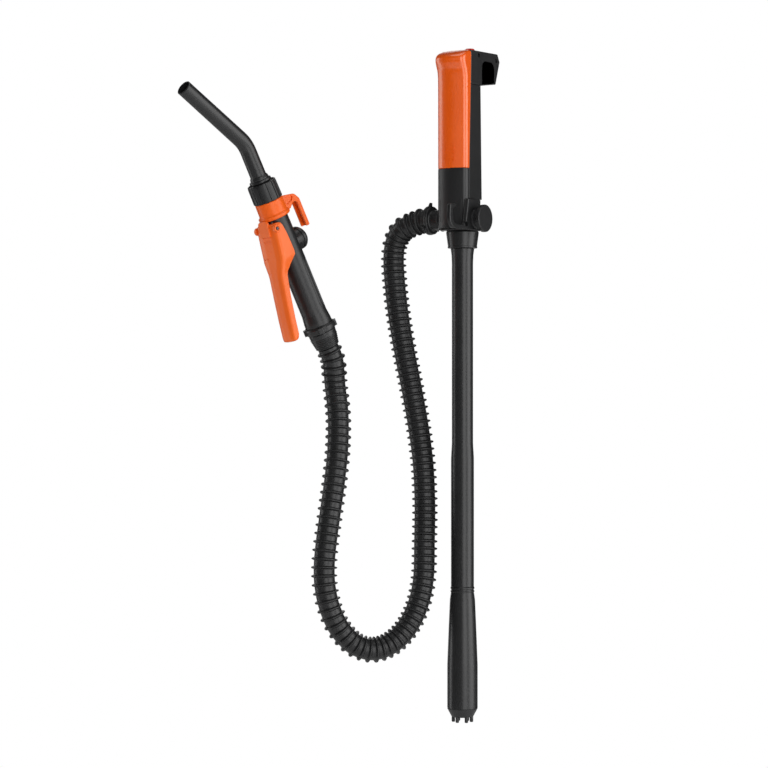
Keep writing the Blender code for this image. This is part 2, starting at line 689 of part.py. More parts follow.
def spout(nozzle):
    body = solid("spout", bent_tube(SPOUT_R, SPOUT_LENGTH, 204.0), "black_plastic", nozzle)
    join(body, turned([(0, 203.6), (13.6, 203.6), (15.6, 205.0), (15.6, 207.2), (11.8, 211.0), (11.8, 213.6),
                       (14.4, 214.2), (14.9, 216.2), (14.3, 219.0), (12.2, 220.8), (0, 220.8)], 28))
    cut(body, bent_tube(SPOUT_R - 1.8, SPOUT_LENGTH + 2, 202.0))
    solid("spout_seal", tube(15.4, 11.4, 200.0, 203.2, 24), "black_rubber", nozzle)
    neck = [(8.0, 164.0), (10.6, 164.0), (10.6, 188.0), (15.6, 188.0), (15.6, 199.7), (8.0, 199.7)]
    solid("outlet_neck", turned(neck, 24), "black_plastic", nozzle)


def hose_end(nozzle):
    """The swivel ring turns with the nozzle; the cuff under it stays on the hose."""
    solid("swivel_ring", turned([(9.0, -1.6), (19.0, -1.6), (20.4, -0.4), (20.4, 2.6), (19.2, 3.7), (9.0, 3.7)], 28),
          "black_plastic", nozzle)
    cuff = [(9.0, -24.5), (15.2, -24.5), (15.8, -20.0), (18.4, -8.0), (18.8, -1.9), (9.0, -1.9)]
    solid("hose_cuff", turned(cuff, 28), "black_plastic", nozzle)


def build():
    clear_scene()
    pump = frame("pump_frame", (0, -HANG_Y, -HANG_Z))
    nozzle = frame("nozzle_frame", NOZZLE_AT, NOZZLE_TURN, pump)
    for section in (
        intake_cap, motor_bulb, motor, suction_tube, base_block, housing_shells, hanger_head, battery_cover,
        front_cover, battery_bay, side_bracket, side_knob, outlet_socket,
    ):
        section(pump)
    hose()
    for section in (grip, valve, lever, hook_ring, union_nut, spout, hose_end):
        section(nozzle)


build()
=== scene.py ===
"""The look of a battery-powered transfer pump with a corrugated hose and a trigger nozzle."""

import json
import math

import bmesh
import bpy
from mathutils import Matrix, Vector


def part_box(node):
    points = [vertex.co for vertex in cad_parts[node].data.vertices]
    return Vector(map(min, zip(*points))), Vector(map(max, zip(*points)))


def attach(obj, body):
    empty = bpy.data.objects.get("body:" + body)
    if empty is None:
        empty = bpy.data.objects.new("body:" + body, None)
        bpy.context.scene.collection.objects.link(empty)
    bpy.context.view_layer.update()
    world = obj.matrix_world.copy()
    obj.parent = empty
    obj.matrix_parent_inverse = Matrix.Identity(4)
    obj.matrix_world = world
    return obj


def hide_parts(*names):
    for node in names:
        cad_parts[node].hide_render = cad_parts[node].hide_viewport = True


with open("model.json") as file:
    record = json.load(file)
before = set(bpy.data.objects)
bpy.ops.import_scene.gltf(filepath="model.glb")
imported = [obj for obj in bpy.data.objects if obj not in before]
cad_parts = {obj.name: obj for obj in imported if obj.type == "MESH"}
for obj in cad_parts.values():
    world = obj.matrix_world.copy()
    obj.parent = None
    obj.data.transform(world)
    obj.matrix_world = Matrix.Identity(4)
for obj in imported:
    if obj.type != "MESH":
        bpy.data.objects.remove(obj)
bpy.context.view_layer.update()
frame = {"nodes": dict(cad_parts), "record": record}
MM = 0.001
JOINTS = {joint["name"]: joint for joint in frame["record"]["behaviour"]["joints"]}


# ---------------------------------------------------------------- the pump's and the nozzle's own frames


def middle(node):
    low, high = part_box(node)
    return (low + high) / 2


def nozzle_place():
    """Z up the grip, Y along the lever's pivot, and the origin on the swivel."""
    up = Vector(JOINTS["nozzle_swivel"]["axis"]).normalized()
    across = Vector(JOINTS["lever_squeeze"]["axis"])
    across = (across - up * across.dot(up)).normalized()
    turn = Matrix((across.cross(up), across, up)).transposed()
    place = turn.to_4x4()
    place.translation = Vector(JOINTS["nozzle_swivel"]["pos_m"]) + up * 1.7 * MM
    return place


TUBE = middle("suction_tube")
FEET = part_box("intake_cap")[0].z
PUMP = Matrix.Translation((TUBE.x, TUBE.y, FEET))
NOZZLE = nozzle_place()


def facing(x, y, z, axis):
    """A place in the pump whose Z runs along an axis, such as "+X"."""
    turns = {"+X": (0, 90, 0), "-X": (0, -90, 0), "+Y": (-90, 0, 0), "-Y": (90, 0, 0), "+Z": (0, 0, 0)}
    turn = Matrix.Identity(4)
    for angle, about in zip(turns[axis], "XYZ"):
        turn = Matrix.Rotation(math.radians(angle), 4, about) @ turn
    return Matrix.Translation(Vector((x, y, z)) * MM) @ turn


# ---------------------------------------------------------------- camera


def camera():
    """Level with the middle of the pump, off its front-right corner, through a long lens."""
    around, back, scale = math.radians(33), 3.24, 0.001335
    right = Vector((math.cos(around), math.sin(around), 0))
    towards = Vector((math.sin(around), -math.cos(around), 0))
    target = Vector((TUBE.x, TUBE.y, FEET + 0.451)) - right * 0.1047
    data = bpy.data.cameras.new("camera")
    data.sensor_width = 36
    data.lens = 36 * back / (768 * scale)
    data.clip_end = 30
    shot = bpy.data.objects.new("camera", data)
    shot.location = target + towards * back
    shot.rotation_euler = (math.radians(90), 0, around)
    bpy.context.scene.collection.objects.link(shot)
    bpy.context.scene.camera = shot
    return right, towards, target


RIGHT, TOWARDS, TARGET = camera()


# ---------------------------------------------------------------- materials


class Look:
    """A material's node tree, with short names for the nodes that the looks share."""

    def __init__(self, name):
        self.made = bpy.data.materials.new(name)
        self.made.use_nodes = True
        self.nodes = self.made.node_tree.nodes
        self.links = self.made.node_tree.links
        self.shader = self.nodes["Principled BSDF"]
        self.where = self.node("ShaderNodeTexCoord").outputs["Object"]

    def node(self, kind, **settings):
        made = self.nodes.new(kind)
        for key, value in settings.items():
            setattr(made, key, value)
        return made

    def noise(self, scale, detail=3.0, rough=0.55, stretch=(1, 1, 1)):
        at = self.where
        if stretch != (1, 1, 1):
            mapping = self.node("ShaderNodeMapping")
            mapping.inputs["Scale"].default_value = stretch
            self.links.new(at, mapping.inputs["Vector"])
            at = mapping.outputs["Vector"]
        made = self.node("ShaderNodeTexNoise")
        made.inputs["Scale"].default_value = scale
        made.inputs["Detail"].default_value = detail
        made.inputs["Roughness"].default_value = rough
        self.links.new(at, made.inputs["Vector"])
        return made.outputs["Fac"]

    def ramp(self, value, stops):
        made = self.node("ShaderNodeValToRGB")
        ends = made.color_ramp.elements
        while len(ends) < len(stops):
            ends.new(0.5)
        for end, (at, colour) in zip(ends, stops):
            end.position = at
            end.color = (*colour, 1.0)
        self.links.new(value, made.inputs["Fac"])
        return made.outputs["Color"]

    def span(self, value, low, high):
        made = self.node("ShaderNodeMapRange")
        made.inputs["To Min"].default_value = low
        made.inputs["To Max"].default_value = high
        self.links.new(value, made.inputs["Value"])
        return made.outputs["Result"]

    def bump(self, *heights):
        """Bumps stacked on each other from (height, strength, distance in metres)."""
        normal = None
        for height, strength, distance in heights:
            made = self.node("ShaderNodeBump")
            made.inputs["Strength"].default_value = strength
            made.inputs["Distance"].default_value = distance
            self.links.new(height, made.inputs["Height"])
            if normal:
                self.links.new(normal, made.inputs["Normal"])
            normal = made.outputs["Normal"]
        self.links.new(normal, self.shader.inputs["Normal"])

    def set(self, **values):
        for key, value in values.items():
            socket = self.shader.inputs[key.replace("_", " ")]
            if isinstance(value, bpy.types.NodeSocket):
                self.links.new(value, socket)
            else:
                socket.default_value = value


def moulded(name, dark, light, rough, grain=0.25, specular=0.5, coat=0.0, tint=(1.0, 1.0, 1.0)):
    """Injection-moulded plastic: cloudy colour, a fine spark-eroded grain and faint flow marks."""
    look = Look(name)
    cloud = look.noise(22, 4)
    fine = look.noise(1900, 2, 0.6)
    flow = look.noise(46, 5, 0.6, (1, 1, 0.22))
    look.set(
        Base_Color=look.ramp(cloud, [(0.3, dark), (0.7, light)]),
        Roughness=look.span(flow, rough - 0.05, rough + 0.06),
        Specular_IOR_Level=specular,
        Specular_Tint=(*tint, 1.0),
        Coat_Weight=coat,
        Coat_Roughness=0.12,
    )
    look.bump((flow, 0.05, 0.0006), (fine, grain, 0.00008))
    return look.made


def metal(name, colour, rough, streak=(1, 1, 0.02)):
    look = Look(name)
    brushed = look.noise(900, 3, 0.6, streak)
    shade = tuple(0.75 * c for c in colour)
    look.set(
        Base_Color=look.ramp(brushed, [(0.25, shade), (0.75, colour)]),
        Roughness=look.span(brushed, rough - 0.06, rough + 0.1),
        Metallic=1.0,
    )
    look.bump((brushed, 0.12, 0.00006))
    return look.made


def rubber(name):
    look = Look(name)
    dust = look.noise(260, 5, 0.65)
    look.set(
        Base_Color=look.ramp(dust, [(0.3, (0.008, 0.008, 0.009)), (0.8, (0.018, 0.018, 0.019))]),
        Roughness=look.span(dust, 0.68, 0.86),
        Specular_IOR_Level=0.4,
    )
    look.bump((dust, 0.3, 0.0001))
    return look.made


def cell_jacket():
    """A dry cell's foil jacket: plain brushed grey, with no print."""
    look = Look("cell_jacket")
    foil = look.noise(700, 3, 0.6, (1, 1, 0.05))
    look.set(
        Base_Color=look.ramp(foil, [(0.3, (0.16, 0.17, 0.19)), (0.7, (0.26, 0.27, 0.29))]),
        Roughness=look.span(foil, 0.26, 0.42),
        Metallic=0.6,
    )
    look.bump((foil, 0.1, 0.00005))
    return look.made


BLACK = moulded("black_plastic", (0.0105, 0.0107, 0.0112), (0.0150, 0.0152, 0.0158), 0.36)
BLACK_TUBE = moulded("black_tube", (0.0115, 0.0117, 0.0122), (0.0155, 0.0157, 0.0163), 0.33, grain=0.12)
HOSE = moulded("hose_plastic", (0.0100, 0.0102, 0.0106), (0.0150, 0.0152, 0.0158), 0.38, grain=0.18)
WARM = (1.0, 0.84, 0.68)
ORANGE = moulded(
    "orange_plastic", (0.760, 0.090, 0.0010), (0.810, 0.102, 0.0022), 0.27, grain=0.12, specular=1.0,
    coat=0.4, tint=WARM,
)
LEVER_ORANGE = moulded(
    "lever_orange", (0.800, 0.118, 0.0100), (0.860, 0.136, 0.0140), 0.34, grain=0.14, specular=0.6,
    tint=WARM,
)
HOOK_ORANGE = moulded(
    "hook_orange", (0.780, 0.104, 0.0050), (0.830, 0.118, 0.0080), 0.36, grain=0.01, specular=0.5,
    tint=WARM,
)
RED = moulded("red_plastic", (0.52, 0.018, 0.008), (0.62, 0.026, 0.012), 0.33)
WHITE = moulded("white_plastic", (0.62, 0.62, 0.60), (0.74, 0.74, 0.72), 0.42)
RUBBER = rubber("black_rubber")
STEEL = metal("steel", (0.58, 0.58, 0.60), 0.30)
DARK_STEEL = metal("screw_steel", (0.10, 0.10, 0.105), 0.36)
BRASS = metal("brass", (0.66, 0.47, 0.19), 0.28, (1, 0.03, 1))
JACKET = cell_jacket()


# ---------------------------------------------------------------- shapes, in millimetres


def rounded(corners, steps=8):
    """A closed outline from corners (a, b, radius), whose arcs leave room for their neighbours."""
    outline = []
    for i, (a, b, radius) in enumerate(corners):
        here = Vector((a, b))
        back = Vector(corners[i - 1][:2]) - here
        ahead = Vector(corners[(i + 1) % len(corners)][:2]) - here
        half = back.angle(ahead) / 2
        if radius <= 0 or half > math.radians(89.5):
            outline.append((a, b))
            continue
        radius = min(radius, 0.47 * min(back.length, ahead.length) * math.tan(half))
        back.normalize()
        ahead.normalize()
        centre = here + (back + ahead).normalized() * radius / math.sin(half)
        start = here + back * radius / math.tan(half) - centre
        sweep = start.angle_signed(here + ahead * radius / math.tan(half) - centre)
        for k in range(steps + 1):
            c, s = math.cos(-sweep * k / steps), math.sin(-sweep * k / steps)
            outline.append((centre.x + c * start.x - s * start.y, centre.y + s * start.x + c * start.y))
    return outline


def loft(rings, closed=False):
    count = len(rings[0])
    points = [p for ring in rings for p in ring]
    faces = []
    for i in range(len(rings) if closed else len(rings) - 1):
        a, b = i * count, (i + 1) % len(rings) * count
        for j in range(count):
            k = (j + 1) % count
            faces.append((a + j, a + k, b + k, b + j))
    if not closed:
        faces.append(tuple(range(count))[::-1])
        faces.append(tuple(range(len(points) - count, len(points))))
    return points, faces


def turned(profile, soften=0.0, segments=96):
    """(radius, height) or (radius, height, rounding) points turned about Z. It may end on the axis."""
    corners = [(p[0], p[1], p[2] if len(p) > 2 else soften) for p in profile]
    on_axis = corners[0][0] == 0 or corners[-1][0] == 0
    if on_axis:
        corners = [(r, z, 0 if r == 0 else s) for r, z, s in corners]
    outline = rounded(corners, 4)
    if not on_axis:
        rings = []
        for i in range(segments):
            a = 2 * math.pi * i / segments
            rings.append([(r * math.cos(a), r * math.sin(a), z) for r, z in outline])
        return loft(rings, closed=True)
    points = [(0, 0, outline[0][1]), (0, 0, outline[-1][1])]
    body = outline[1:-1]
    faces, inner = [], len(body)
    for i in range(segments):
        a = 2 * math.pi * i / segments
        points += [(r * math.cos(a), r * math.sin(a), z) for r, z in body]
    for i in range(segments):
        a, b = 2 + i * inner, 2 + (i + 1) % segments * inner
        faces.append((0, a, b))
        faces += [(a + j, a + j + 1, b + j + 1, b + j) for j in range(inner - 1)]
        faces.append((a + inner - 1, 1, b + inner - 1))
    return points, faces


def rod(radius, low, high, soften=0.0, segments=48):
    return turned([(0, low), (radius, low), (radius, high), (0, high)], soften, segments)


def prism(outline, low, high, axis="Z"):
    place = {
        "X": lambda a, b, h: (h, a, b),
        "Y": lambda a, b, h: (a, h, b),
        "Z": lambda a, b, h: (a, b, h),
    }[axis]
    return loft([[place(a, b, h) for a, b in outline] for h in (low, high)])


def inset(outline, by):
    """The outline moved into its own material, with mitred corners."""
    count = len(outline)
    area = sum(outline[i - 1][0] * outline[i][1] - outline[i][0] * outline[i - 1][1] for i in range(count))
    turn, moved = (1 if area > 0 else -1), []
    for i in range(count):
        here = Vector(outline[i])
        before, after = here - Vector(outline[i - 1]), Vector(outline[(i + 1) % count]) - here
        before.normalize()
        after.normalize()
        a, b = Vector((-before.y, before.x)) * turn, Vector((-after.y, after.x)) * turn
        middle = (a + b).normalized()
        moved.append(tuple(here + middle * by / max(0.5, middle.dot(a))))
    return moved


def soft_prism(outline, low, high, axis, edge):
    """A prism whose two rims are rounded by a quarter circle."""
    place = {
        "X": lambda a, b, h: (h, a, b),
        "Y": lambda a, b, h: (a, h, b),
        "Z": lambda a, b, h: (a, b, h),
    }[axis]
    rings = []
    for k in range(6):
        a = math.radians(18 * k)
        rings.append((low + edge * (1 - math.sin(a)), edge * (1 - math.cos(a))))
    rings = rings[::-1] + [(low + high - h, by) for h, by in rings]
    return loft([[place(a, b, h) for a, b in inset(outline, by)] for h, by in rings])


def slab(low, high):
    (x0, y0, z0), (x1, y1, z1) = low, high
    return prism([(x0, y0), (x1, y0), (x1, y1), (x0, y1)], z0, z1)


def pill(length, width, depth, rise):
    """A bar with rounded ends, lying along X, with its top dished to soft edges."""
    rings = []
    for share, z in ((1.0, 0.0), (1.0, rise * 0.55), (0.86, rise * 0.9), (0.6, rise)):
        w, h = length / 2 * (0.7 + 0.3 * share), width / 2 * share
        rings.append([(x, y, z) for x, y in rounded([(-w, -h, h), (w, -h, h), (w, h, h), (-w, h, h)], 6)])
    return loft([[(x, y, -depth) for x, y, _ in rings[0]], *rings])


def along(rows, count):
    """Rows of numbers read at even steps of a Catmull-Rom curve through them."""
    p = [rows[0], *rows, rows[-1]]
    out = []
    for i in range(count):
        at = (len(rows) - 1) * i / (count - 1)
        j = min(int(at), len(rows) - 2) + 1
        t = at - (j - 1)
        row = []
        for a, b, c, d in zip(p[j - 1], p[j], p[j + 1], p[j + 2]):
            bend, twist = 2 * a - 5 * b + 4 * c - d, 3 * b - a - 3 * c + d
            row.append(0.5 * (2 * b + (c - a) * t + bend * t * t + twist * t ** 3))
        out.append(tuple(row))
    return out


def mesh_of(name, shape, look):
    points, faces = shape
    mesh = bpy.data.meshes.new(name)
    mesh.from_pydata([Vector(p) * MM for p in points], [], faces)
    mesh.materials.append(look)
    mesh.shade_smooth()
    return mesh


def bare(name, shape, look, place):
    obj = bpy.data.objects.new(name, mesh_of(name, shape, look))
    obj.matrix_world = place
    bpy.context.scene.collection.objects.link(obj)
    outward(obj)
    return obj


def outward(obj):
    """Turns every face out, which the order of a loft's rings doesn't promise."""
    work = bmesh.new()
    work.from_mesh(obj.data)
    bmesh.ops.recalc_face_normals(work, faces=work.faces)
    work.to_mesh(obj.data)
    work.free()


def settle(obj):
    """The modifiers' result becomes the mesh."""
    seen = bpy.context.evaluated_depsgraph_get()
    mesh = bpy.data.meshes.new_from_object(obj.evaluated_get(seen))
    obj.modifiers.clear()
    obj.data = mesh


def shaped(obj, *steps):
    """Booleans, each ("cut" or "join", shape) or with its own place, taken in one go."""
    helpers = []
    for kind, shape, *own in steps:
        place = obj.matrix_world @ own[0] if own else obj.matrix_world
        helper = bare("helper", shape, obj.data.materials[0], place)
        helper.hide_render = True
        modifier = obj.modifiers.new(kind, "BOOLEAN")
        modifier.operation = "DIFFERENCE" if kind == "cut" else "UNION"
        modifier.solver = "EXACT"
        modifier.object = helper
        helpers.append(helper)
    settle(obj)
    for helper in helpers:
        bpy.data.objects.remove(helper, do_unlink=True)
    return obj


def crisp(obj, angle=40):
    """Keeps sharp edges sharp, and stops roundings from bending the light on the flats beside them."""
    obj.data.set_sharp_from_angle(angle=math.radians(angle))
    modifier = obj.modifiers.new("flats", "WEIGHTED_NORMAL")
    modifier.weight = 75
    modifier.keep_sharp = True
    return obj


def piece(obj, body, slot, *nodes):
    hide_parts(*nodes)
    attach(obj, body)
    return obj


# ---------------------------------------------------------------- hose

ROUTE = [
    (-0.0440, -0.0408, -0.2112),
    (-0.0545, -0.0408, -0.2110),
    (-0.0664, -0.0409, -0.2140),
    (-0.0848, -0.0433, -0.2216),
    (-0.0967, -0.0422, -0.2367),
    (-0.1014, -0.0410, -0.2595),
    (-0.0990, -0.0415, -0.2946),
    (-0.0919, -0.0428, -0.3408),
    (-0.0823, -0.0426, -0.3894),
    (-0.0720, -0.0411, -0.4380),
    (-0.0625, -0.0402, -0.4864),
    (-0.0544, -0.0408, -0.5374),
    (-0.0497, -0.0439, -0.5882),
    (-0.0470, -0.0491, -0.6388),
    (-0.0444, -0.0561, -0.6902),
    (-0.0471, -0.0676, -0.7276),
    (-0.0561, -0.0827, -0.7566),
    (-0.0686, -0.1001, -0.7747),
    (-0.0844, -0.1190, -0.7815),
    (-0.1014, -0.1361, -0.7739),
    (-0.1150, -0.1513, -0.7530),
    (-0.1236, -0.1609, -0.7265),
    (-0.1284, -0.1653, -0.6986),
    (-0.1302, -0.1652, -0.6723),
    (-0.1299, -0.1616, -0.6424),
    (-0.1290, -0.1529, -0.6005),
    (-0.1291, -0.1419, -0.5559),
    (-0.1312, -0.1316, -0.5137),
    (-0.1367, -0.1228, -0.4711),
    (-0.1449, -0.1181, -0.4312),
    (-0.1430, -0.1256, -0.3996),
    (-0.1456, -0.1336, -0.3811),
]
HOSE_CORE, HOSE_RING = 13.9, 17.35
RING_WIDTH = 4.7
PITCHES = [  # share of the length, and the ribs' spacing there
    (0.0, 9.3), (0.40, 9.4), (0.46, 10.2), (0.51, 9.1), (0.58, 8.2), (0.62, 9.8), (0.66, 10.9),
    (0.92, 11.0), (1.0, 10.2),
]


def read_at(rows, at):
    for (a, low), (b, high) in zip(rows, rows[1:]):
        if at <= b:
            return low + (high - low) * (at - a) / (b - a)
    return rows[-1][1]


def hose_stations(length):
    """(distance along, radius) pairs: a smooth core with one narrow rounded rib at each pitch."""
    rib = [
        (-0.5, 0.0), (-0.40, 0.10), (-0.30, 0.52), (-0.20, 0.86), (-0.08, 1.0), (0.08, 1.0), (0.20, 0.86),
        (0.30, 0.52), (0.40, 0.10), (0.5, 0.0),
    ]
    stations, at = [(0.0, HOSE_CORE)], 3.6
    while at < length - 3.0:
        for share, high in rib:
            stations.append((at + share * RING_WIDTH, HOSE_CORE + (HOSE_RING - HOSE_CORE) * high))
        step = read_at(PITCHES, at / length)
        stations += [(at + step * share, HOSE_CORE) for share in (0.3, 0.5, 0.7)]
        at += step
    stations = [s for s in stations if s[0] < length]
    stations.append((length, HOSE_CORE))
    return stations


def hose():
    fine = [Vector(p) / MM for p in along(ROUTE, 1400)]
    far = [0.0]
    for a, b in zip(fine, fine[1:]):
        far.append(far[-1] + (b - a).length)
    length = far[-1]

    def point(at):
        low, high = 0, len(far) - 2
        while low < high:
            j = (low + high + 1) // 2
            low, high = (j, high) if far[j] <= at else (low, j - 1)
        return fine[low].lerp(fine[low + 1], (at - far[low]) / (far[low + 1] - far[low]))

    rings, side, path = [], Vector((0, 1, 0)), []
    count = 56
    for at, radius in hose_stations(length):
        centre = point(at)
        ahead = (point(min(at + 2.0, length)) - point(max(at - 2.0, 0))).normalized()
        side = (side - ahead * side.dot(ahead)).normalized()
        other = ahead.cross(side)
        rings.append(
            [
                tuple(centre + side * radius * math.cos(b) + other * radius * math.sin(b))
                for b in (2 * math.pi * k / count for k in range(count))
            ]
        )
        path.append(tuple(centre * MM))
    tube = bare("ribbed_hose", loft(rings), HOSE, Matrix.Identity(4))
    crisp(tube, 60)
    piece(tube, "pump", "hose_plastic", "hose")
    return tube, path, length * MM


TUBE_PIECE, PATH, LENGTH = hose()


# ---------------------------------------------------------------- suction tube, bulb and intake


def wet_end():
    tube = [
        (11.0, 170), (12.0, 170), (12.0, 181), (15.3, 181), (15.3, 352, 60), (14.15, 372, 60),
        (14.15, 612, 12), (14.6, 623, 8), (15.8, 631.7, 0.6), (11.0, 631.7),
    ]
    piece(crisp(bare("tube", turned(tube), BLACK_TUBE, PUMP)), "pump", "black_plastic", "suction_tube")

    bulb = [
        (18.3, 18.7, 0.3), (20.3, 18.7, 0.5), (20.3, 76.0, 40), (19.35, 101, 30), (18.1, 133, 30),
        (16.8, 163, 12), (15.7, 171, 4), (15.2, 173.4, 0.8), (16.0, 173.8, 0.5), (16.0, 175.4, 0.5),
        (15.2, 175.8, 0.4), (15.2, 177.6, 0.4), (16.0, 178.0, 0.5), (16.0, 179.7, 0.5), (15.3, 180.7, 0.3),
        (12.4, 180.7), (12.4, 169), (14.3, 163), (16.9, 101), (18.3, 76),
    ]
    piece(crisp(bare("motor_bulb", turned(bulb), BLACK_TUBE, PUMP)), "pump", "black_plastic", "motor_housing")

    cap = [
        (8.0, 6.9, 0.4), (13.6, 6.9, 0.8), (14.9, 8.2, 0.8), (20.1, 18.0, 0.5), (20.1, 18.4, 0.2),
        (18.0, 18.4), (18.0, 23.5), (15.8, 23.5), (15.8, 13.0), (12.0, 9.6), (8.0, 9.6, 0.4),
    ]
    whole = bare("intake", turned(cap), BLACK, PUMP)
    steps = []
    for i in range(6):
        a = math.radians(60 * i + 27)
        at = Matrix.Translation(Vector((12.1 * math.cos(a), 12.1 * math.sin(a), 0)) * MM)
        steps.append(("join", turned([(0, 0), (2.3, 0, 1.5), (2.45, 11.2, 1.6), (0, 11.8)], 0, 24), at))
    shaped(whole, *steps)
    piece(crisp(whole), "pump", "black_plastic", "intake_cap")

    grille = bare("strainer", rod(7.6, 7.4, 9.2, 0.4), BLACK, PUMP)
    slots = []
    for x in (-4.4, -2.2, 0.0, 2.2, 4.4):
        reach = math.sqrt(6.4 ** 2 - x * x) - 0.8
        corners = [(x + 0.6 * a, reach * b, 0.6) for a, b in ((-1, -1), (1, -1), (1, 1), (-1, 1))]
        slots.append(("cut", prism(rounded(corners, 3), 6, 11)))
    piece(crisp(shaped(grille, *slots)), "pump", "black_plastic", "intake_strainer")

    collar = [
        (11.2, 632.0), (19.0, 632.0, 0.5), (19.75, 632.4, 0.5), (19.75, 634.0, 0.6), (19.45, 634.9, 0.8),
        (21.95, 653.2, 0.7), (21.0, 654.5, 0.4), (11.2, 654.5),
    ]
    whole = bare("collar", turned(collar), BLACK_TUBE, PUMP)
    piece(crisp(whole), "pump", "black_plastic", "tube_collar")


# ---------------------------------------------------------------- handle

WIDE, FRONT, COVER_LOW, HEAD_LOW, HEAD_HIGH = 22.8, 33.6, 737.0, 848.5, 896.0
BASE_LOW = 655.0
BOW = 45.0  # radius of the front's bow
WALL = 2.3
PORT = (0, -12, 670)  # where the outlet and the knob share an axis
SCREWS = ((4.5, 888.5), (50.0, 886.0))  # y and z on the head's right side
BUTTON = Matrix.Translation(Vector((0, 19, 0)) * MM)


def split_y(z):
    return -20.0 + max(0.0, z - COVER_LOW) * 5.0 / (HEAD_HIGH - COVER_LOW)


def rear_y(z):
    return 18.7 - (z - BASE_LOW) * 5.0 / (HEAD_HIGH - BASE_LOW)


def bowed(w, f, back, r, thin=0.0):
    """A section's front: a gently bowed face between round corners, from its left end to its right."""
    w, f, r, bow = w - thin, f - thin, max(r - thin, 1.0), BOW - thin
    turn = math.asin((w - r) / (bow - r))
    low = -f + bow - (bow - r) * math.cos(turn)
    points = [(-w, back)]
    for side in (-1, 1):
        arc = []
        for k in range(13):
            a = side * (math.pi / 2 + (turn - math.pi / 2) * k / 12)
            arc.append((side * (w - r) + r * math.sin(a), low - r * math.cos(a)))
        points += arc if side < 0 else arc[::-1]
        if side < 0:
            for k in range(1, 16):
                a = -turn + 2 * turn * k / 16
                points.append((bow * math.sin(a), -f + bow * (1 - math.cos(a))))
    return points + [(w, back)]


def cover_ring(z, front, wide, corner, tilt, thin=0.0, back=None):
    back = split_y(z) - 0.15 if back is None else back
    rise = math.tan(math.radians(tilt))
    return [(x, y, z + rise * (y + FRONT)) for x, y in bowed(wide, front, back, corner, thin)]


def battery_cover():
    """A long shell with a swollen brow, whose crown climbs back to meet the head."""
    levels = [
        (737.0, 33.1, 22.3, 7.6, 0.0), (737.5, 33.6, 22.8, 8.0, 0.0), (790.0, 33.7, 22.8, 8.0, 0.0),
        (845.0, 33.9, 22.8, 8.0, 0.0), (858.0, 34.2, 22.8, 8.0, 0.4), (866.0, 35.6, 22.8, 8.2, 1.2),
        (872.0, 38.2, 22.8, 8.6, 2.6), (877.5, 40.5, 22.8, 9.0, 4.6), (882.0, 40.9, 22.8, 9.4, 7.0),
        (885.2, 39.6, 22.7, 9.4, 9.2), (887.3, 37.0, 22.3, 9.2, 10.8), (888.7, 33.6, 21.2, 8.6, 12.0),
        (889.6, 29.6, 18.8, 7.6, 12.8), (890.1, 25.2, 14.6, 5.5, 13.2), (890.3, 20.6, 8.0, 2.4, 13.4),
    ]
    rings = levels[:3] + along(levels[3:], 64)
    shell = bare("cover", loft([cover_ring(*ring) for ring in rings]), ORANGE, PUMP)
    hollow = [cover_ring(z, FRONT, WIDE, 8, tilt, WALL, -5.0) for z, tilt in ((739.3, 0), (870, 0), (884, 8))]
    steps = [("cut", loft(hollow))]
    for z in (747.0, 751.6, 756.2, 760.8, 765.4):  # the thumb's ribs
        at = Matrix.Translation(Vector((0, -FRONT, z)) * MM) @ Matrix.Rotation(math.radians(90), 4, "X")
        steps.append(("join", pill(15.0, 1.5, 0.8, 0.28), at))
    shaped(shell, *steps)
    piece(crisp(shell, 35), "battery_cover", "orange_plastic", "battery_cover")


def front_panel():
    def ring(z, out):
        outside = bowed(WIDE + out, FRONT + out, -20.15, 8.0)
        inside = bowed(WIDE, FRONT, -20.15, 8.0, WALL)
        return [(x, y, z) for x, y in outside + inside[::-1]]

    levels = [
        (657.5, 0.5), (658.0, 0.9), (659.2, 0.9), (661.5, 0.45), (664.5, 0.1), (668.0, 0.0), (736.2, 0.0),
        (736.7, -0.4),
    ]
    panel = bare("front_panel", loft([ring(*level) for level in levels]), BLACK, PUMP)
    piece(crisp(panel, 35), "pump", "black_plastic", "front_cover")


def shells():
    for name, side, node in (("shell_right", 1, "housing_right"), ("shell_left", -1, "housing_left")):
        rings = []
        for z, thin in (
            (696.8, 0.4), (697.2, 0.0), (COVER_LOW, 0.0), (790.0, 0.0), (848.1, 0.0), (848.5, 0.4),
        ):
            w, t, back, front, mid = WIDE - thin, WALL, rear_y(z) - thin, split_y(z) + 0.15, 0.15
            corners = [
                (w, front, 0.5), (w, back, 8), (mid, back, 0.35), (mid, back - t, 0),
                (WIDE - t, back - t, 5.7), (WIDE - t, front, 0),
            ]
            rings.append([(side * x, y, z) for x, y in rounded(corners, 9)])
        half = bare(name, loft(rings), BLACK, PUMP)
        piece(crisp(half, 35), "pump", "black_plastic", node)


def base():
    outline = rounded(
        [
            (-19.4, -31.2, 7.5), (19.4, -31.2, 7.5), (19.4, -19.4, 0), (21.2, -19.4, 0), (21.2, 16.4, 7.0),
            (-21.2, 16.4, 7.0), (-21.2, -19.4, 0), (-19.4, -19.4, 0),
        ],
        10,
    )
    block = bare("base", soft_prism(outline, BASE_LOW, 696.5, "Z", 1.0), BLACK, PUMP)
    shaped(block, ("cut", rod(10.4, 654, 684)), ("cut", rod(8.8, -24, 24), facing(*PORT, "+X")))
    piece(crisp(block, 35), "pump", "black_plastic", "outlet_chamber")


